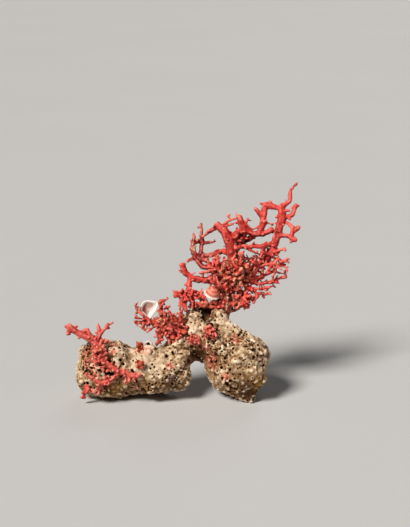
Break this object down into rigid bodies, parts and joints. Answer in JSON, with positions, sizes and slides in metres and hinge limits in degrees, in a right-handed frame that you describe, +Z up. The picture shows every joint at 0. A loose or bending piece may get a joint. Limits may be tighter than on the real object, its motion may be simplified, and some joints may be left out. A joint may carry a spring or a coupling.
{
  "type": "red coral branch on its rock",
  "caption": "Branching red coral fan and smaller colonies grown on an arched piece of porous sea rock with small shells, a natural specimen that stands on its own.",
  "frame": {"origin": "middle of the bounding box's footprint, on the surface that the rock stands on", "axes": "+X along the longest way, from the low end of the rock to the fan; -Y towards the viewer; +Z up"},
  "size_m": [0.1622, 0.0634, 0.1466],
  "materials": {
    "rock": "dry porous limestone, cream to brown, full of small borings",
    "coral": "salmon red coral skeleton with a satin crust and deeper red hollows",
    "pink_shell": "pink striped shell with a white edge, satin",
    "white_shell": "chalky white shell, faintly pink inside"
  },
  "bodies": {
    "root": {"rock_base": "rock", "fan_stem": "coral", "fan_left_bough": "coral", "fan_right_bough": "coral", "fan_middle_bough": "coral", "fan_low_left_bough": "coral", "fan_left_spires": "coral", "fan_right_spray": "coral", "fan_front_spray": "coral", "fan_back_spray": "coral", "shoulder_colony": "coral", "end_colony": "coral", "front_creeper": "coral", "hanging_twig": "coral", "neck_tuft_upper": "coral", "neck_tuft_lower": "coral", "front_sprig": "coral", "top_knob": "coral", "dome_shell": "pink_shell", "ear_shell": "white_shell", "worm_tube": "white_shell"}
  },
  "joints": []
}
